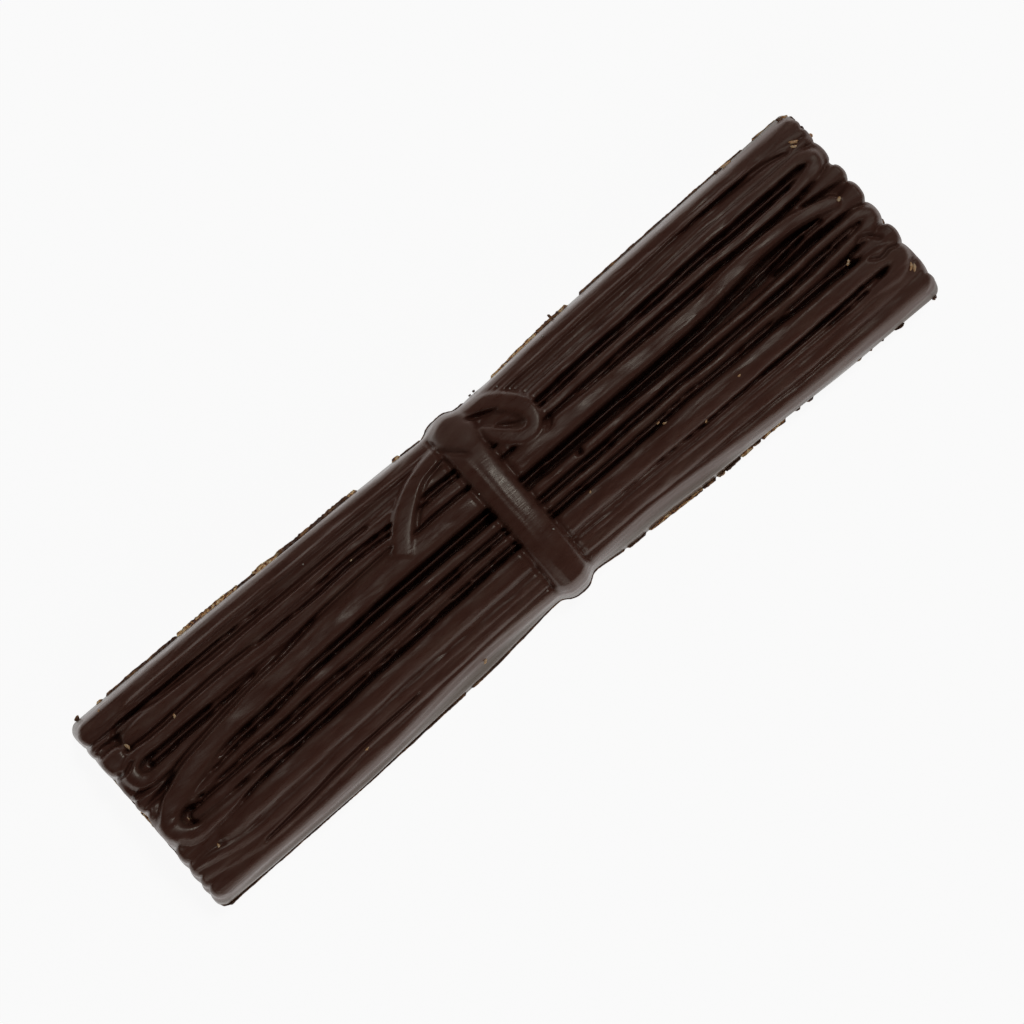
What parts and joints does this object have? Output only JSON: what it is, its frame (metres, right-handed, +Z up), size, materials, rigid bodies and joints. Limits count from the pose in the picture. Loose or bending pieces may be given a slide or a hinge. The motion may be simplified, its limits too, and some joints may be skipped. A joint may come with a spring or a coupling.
{
  "type": "moulded dark chocolate bar shaped as a tied vanilla pod bundle",
  "caption": "Solid dark chocolate bar cast in relief as a bundle of long pods, tied at the waist by a ribbon with a knot, a loop and a tail.",
  "frame": {"origin": "middle of the flat back, on the surface that the bar rests on", "axes": "+X along the pods, towards the ribbon's loop; +Y across the bar, towards the knot; +Z up, out of the moulded top"},
  "size_m": [0.1496, 0.0382, 0.0124],
  "materials": {
    "dark_chocolate": "satin"
  },
  "bodies": {
    "root": {"chocolate_bundle": "dark_chocolate"}
  },
  "joints": []
}
